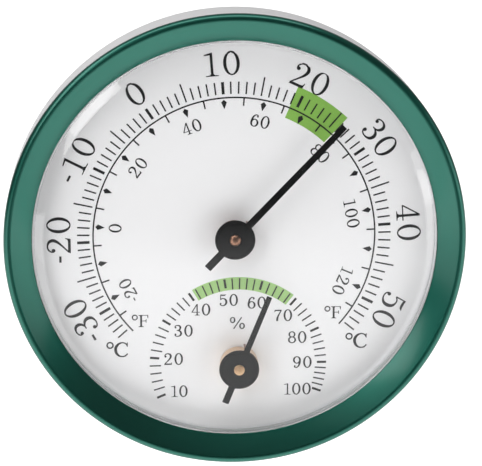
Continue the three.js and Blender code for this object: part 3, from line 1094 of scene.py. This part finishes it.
def print_celsius():
    """Ticks from -34 to 54 degrees: each degree, a longer one each five, and a bold one each ten."""
    data = bmesh.new()
    for t in range(-34, 55):
        outer = CELSIUS_LONG if t % 10 == 5 else CELSIUS_SHORT
        tick(data, celsius_angle(t), CELSIUS_R, outer, THIN if t % 10 else BOLD)
    band(data, ARC_R - THIN / 2, ARC_R + THIN / 2, celsius_angle(-34.7), celsius_angle(54.6), INK_FRONT)
    printed("celsius_scale", data)
    data = bmesh.new()
    height = 5.2
    middle = 38.4
    for t in range(-30, 60, 10):
        angle = celsius_angle(t) - {-30: 1.1, -20: 1.6, -10: 0.3}.get(t, 0)
        word(data, str(t), height, polar(middle, angle), angle - 90, 0.012)
    printed("celsius_numerals", data)


def print_fahrenheit():
    """Kites each ten degrees from -20 to 120, ticks between them, and numerals each twenty."""

    def angle(f):
        return celsius_angle((f - 32) / 1.8)

    data = bmesh.new()
    for f in range(-20, 130, 10):
        kite(data, angle(f), 28.4, 30.5, 0.62)
    for f in range(-25, 135, 10):
        tick(data, angle(f), 29.1, ARC_R - 0.125, THIN)
    printed("fahrenheit_scale", data)
    data = bmesh.new()
    height = 2.7
    middle = 26.15
    for f in range(-20, 140, 20):
        word(data, str(f), height, polar(middle, angle(f)), angle(f) - 90)
    printed("fahrenheit_numerals", data)


# Angles of the humidity scale at 10 to 100 per cent. Its steps are uneven.
DECADES = (201.55, 173.65, 146.85, 122.05, 97.3, 72.45, 47.45, 22.5, -1.55, -21.6)


def humidity_angle(h):
    """Angle of a relative humidity, between two decades."""
    low = min(h // 10 - 1, 8)
    share = h / 10 - 1 - low
    return DECADES[low] * (1 - share) + DECADES[low + 1] * share


def print_humidity():
    """Ticks each two per cent, bold ones each ten, and upright numerals inside them."""
    centre = (0, HUMIDITY_Z)
    data = bmesh.new()
    outer = 19.6
    for h in range(10, 102, 2):
        inner, width = (17.1, 0.3) if h % 10 else (17.55, 0.5)
        tick(data, humidity_angle(h), inner, outer, width, centre)
    printed("humidity_scale", data)
    data = bmesh.new()
    height = 2.63
    left = [(-12.3, -35.5), (-13.5, -28), (-11.3, -21.5), (-7.4, -16.7), (-1.3, -14.6)]
    right = [(4.9, -15.3), (10.7, -18.3), (13.9, -23.4), (15.1, -29.2), (14, -35.4)]
    for k, place in enumerate(left + right):
        names = ["narrow 1" if digit == "1" else digit for digit in str(10 + 10 * k)]
        level_word(data, names, height, place)
    level_word(data, "%", 2.7, (0.66, -19.9))
    printed("humidity_numerals", data)


def print_units():
    data = bmesh.new()
    for place in ((-20.8, -19.1), (21.8, -17.8)):
        level_word(data, ["degree", "F"], 2.75, place)
    for place in ((-25.9, -25.6), (27.1, -24.4)):
        level_word(data, ["degree", "C"], 3.35, place)
    printed("unit_signs", data)


def print_bands():
    """The green comfort ranges under the ticks."""
    data = bmesh.new()
    band(data, 28.5, CELSIUS_LONG, celsius_angle(19.05), celsius_angle(25.9), BAND_FRONT)
    printed("comfort_band_temperature", data, SCALE_GREEN)
    data = bmesh.new()
    band(data, 17.0, 19.85, 119.2, 50.1, BAND_FRONT, (0, HUMIDITY_Z))
    printed("comfort_band_humidity", data, PALE_GREEN)


# ---- Studio ----


def axes():
    """The camera's right, up and back directions, in the instrument's frame."""
    ca, sa, ce, se = math.cos(AZIMUTH), math.sin(AZIMUTH), math.cos(ELEVATION), math.sin(ELEVATION)
    level = (Vector((ca, sa, 0)), Vector((-sa * se, ca * se, ce)), Vector((sa * ce, -ca * ce, se)))
    turn = Matrix.Rotation(ROLL, 3, "Y")
    return [turn @ axis for axis in level]


def make_camera():
    right, up, back = axes()
    aim = Vector((0, DIAL_Y, 0)) + right * AIM_RIGHT + up * AIM_UP
    data = bpy.data.cameras.new("camera")
    data.lens = FOCAL
    data.sensor_width = 36
    data.clip_start = 0.01
    data.clip_end = 50
    camera = added("camera", data)
    facing = Matrix((right, up, back)).transposed().to_4x4()
    camera.matrix_world = Matrix.Translation((aim + back * DISTANCE) * MM) @ facing
    bpy.context.scene.camera = camera


def area_light(name, width, height, radiance):
    """A rectangular light, sizes in metres, that the camera doesn't see."""
    data = bpy.data.lights.new(name, "AREA")
    data.shape = "RECTANGLE"
    data.size = width
    data.size_y = height
    data.energy = radiance * math.pi * width * height
    light = added(name, data)
    light.visible_camera = False
    return light


def softbox(name, azimuth, elevation, distance, width, height, radiance, lean=0):
    """A light that faces the dial. Azimuth 0 is in front and 90 to the right, in degrees."""
    a, e = math.radians(azimuth), math.radians(elevation)
    way = Vector((math.sin(a) * math.cos(e), -math.cos(a) * math.cos(e), math.sin(e)))
    light = area_light(name, width, height, radiance)
    light.location = Vector((0, DIAL_Y * MM, 0)) + way * distance
    light.rotation_mode = "QUATERNION"
    facing = way.to_track_quat("Z", "Y")
    light.rotation_quaternion = facing @ Quaternion((0, 0, 1), math.radians(lean))


def make_world():
    """A room that is dim in front and lighter behind, above and below. Camera rays see it white."""
    world = bpy.data.worlds.new("studio")
    bpy.context.scene.world = world
    world.use_nodes = True
    tree = world.node_tree
    tree.nodes.clear()
    place = add_node(tree, "ShaderNodeTexCoord").outputs["Generated"]
    split = add_node(tree, "ShaderNodeSeparateXYZ", ((0, place),))

    def fade(axis, start, end, low, high):
        """A strength that goes smoothly from low to high as an axis goes from start to end."""
        ends = (("From Min", start), ("From Max", end), ("To Min", low), ("To Max", high))
        links = (("Value", split.outputs[axis]), *ends)
        return add_node(tree, "ShaderNodeMapRange", links, interpolation_type="SMOOTHSTEP").outputs[0]

    strength = fade("Y", 0.0, 0.6, 0.02, 0.6)
    for other in (fade("Z", -0.31, -0.2, 0.95, 0.0), fade("Z", 0.0, 0.35, 0.0, 0.19)):
        links = ((0, strength), (1, other))
        strength = add_node(tree, "ShaderNodeMath", links, operation="MAXIMUM").outputs[0]
    room = add_node(tree, "ShaderNodeBackground", (("Strength", strength),))
    white = add_node(tree, "ShaderNodeBackground", (("Color", (1, 1, 1, 1)), ("Strength", 1.0)))
    seen = add_node(tree, "ShaderNodeLightPath").outputs["Is Camera Ray"]
    links = ((0, seen), (1, room.outputs[0]), (2, white.outputs[0]))
    pick = add_node(tree, "ShaderNodeMixShader", links)
    add_node(tree, "ShaderNodeOutputWorld", (("Surface", pick.outputs[0]),))


def make_floor():
    """A wide pale floor below the hanging instrument."""
    half = 2600
    front = -500
    top = -300
    data = box((-half, front, top - 20), (half, half, top))
    bmesh.ops.scale(data, vec=(MM, MM, MM), verts=data.verts)
    bmesh.ops.recalc_face_normals(data, faces=data.faces)
    mesh = baked("floor", data)
    look = Look("floor_paint", Roughness=0.8, Specular_IOR_Level=0.1)
    cloud = look.noise(3, look.place())
    look.link(look.blend(cloud, (0.89, 0.89, 0.89, 1), (0.92, 0.92, 0.92, 1)), "Base Color")
    mesh.materials.append(look.material)
    added("floor", mesh)


def make_lights():
    """A long key softbox at the upper left, one overhead, panels at the sides, washes over the floor."""
    softbox("key_softbox", -54, 35, 1.2, 0.38, 1.4, 4.3, 32)
    softbox("overhead_softbox", 0, 72, 1.2, 1.2, 0.5, 3.8)
    softbox("low_softbox", -32, 24, 1.6, 0.7, 0.6, 0.4)
    softbox("left_panel", -51, -16, 1.6, 1.1, 0.66, 1.95)
    softbox("right_panel", 57, -12, 1.6, 1.1, 0.85, 1.95)
    softbox("right_side", 72, 6, 1.3, 0.3, 0.55, 2.2)
    area_light("front_wash", 5.2, 0.5, 1.8).location = (0, -0.24, -0.13)
    area_light("rear_wash", 6, 3, 1.2).location = (0, 1.7, -0.08)


make_camera()
make_bezel()
make_lens()
make_spacer()
make_housing()
make_rear_cover()
for number in (1, 2, 3, 4):
    make_screw(number)
make_leg()

TEMPERATURE_ARM = (34.4, 1.6, 1.3, 8.75, 1.65)
HUMIDITY_ARM = (17.8, 1.35, 1.15, 8.25, 1.45)
DOMED_CAP = arc((0, 0.1), (1.3, 0.8), 90, 0, 12)
DIMPLE = arc((0, 0.42), (0.25, 0.2), -70, 0, 4)
CAP_EDGE = arc((1.0, 0.26), (0.18, 0.16), 90, 0, 4)
DIMPLED_CAP = [(0, 0.2), *DIMPLE, (0.3, 0.42), (1.0, 0.42), *CAP_EDGE, (1.18, 0.1)]

make_pointer("temperature", "temperature_needle", 0, TEMPERATURE_ANGLE, TEMPERATURE_ARM)
make_pointer("humidity", "humidity_needle", HUMIDITY_Z, HUMIDITY_ANGLE, HUMIDITY_ARM)
make_post("temperature", "temperature_post", "case", 0, False, DOMED_CAP, CAP_COPPER)
ADJUSTER = "humidity_adjuster"
make_post("humidity", f"{ADJUSTER}_post", ADJUSTER, HUMIDITY_Z, True, DIMPLED_CAP, BRASS)
make_coil("temperature", "case", 0, TEMPERATURE_ANGLE, BIMETAL)
make_coil("humidity", ADJUSTER, HUMIDITY_Z, HUMIDITY_ANGLE, COPPER)
for prefix, z, angle in (("temperature", 0, TEMPERATURE_ANGLE), ("humidity", HUMIDITY_Z, HUMIDITY_ANGLE)):
    make_bush(prefix, f"{prefix}_needle", z)
    make_clip(prefix, f"{prefix}_needle", z, angle)

# CAD nodes that are seen as they are, with a material of their own.
KEPT = {"dial_card": CARD, "dial_plate": ALUMINIUM}
KEPT |= {"stand_hinge_pin": STEEL, "humidity_spring_washer": STEEL}
for node, material in KEPT.items():
    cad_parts[node].material_slots[0].material = material

print_celsius()
print_fahrenheit()
print_humidity()
print_units()
print_bands()

make_world()
make_floor()
make_lights()
bpy.context.scene.view_settings.view_transform = "Standard"
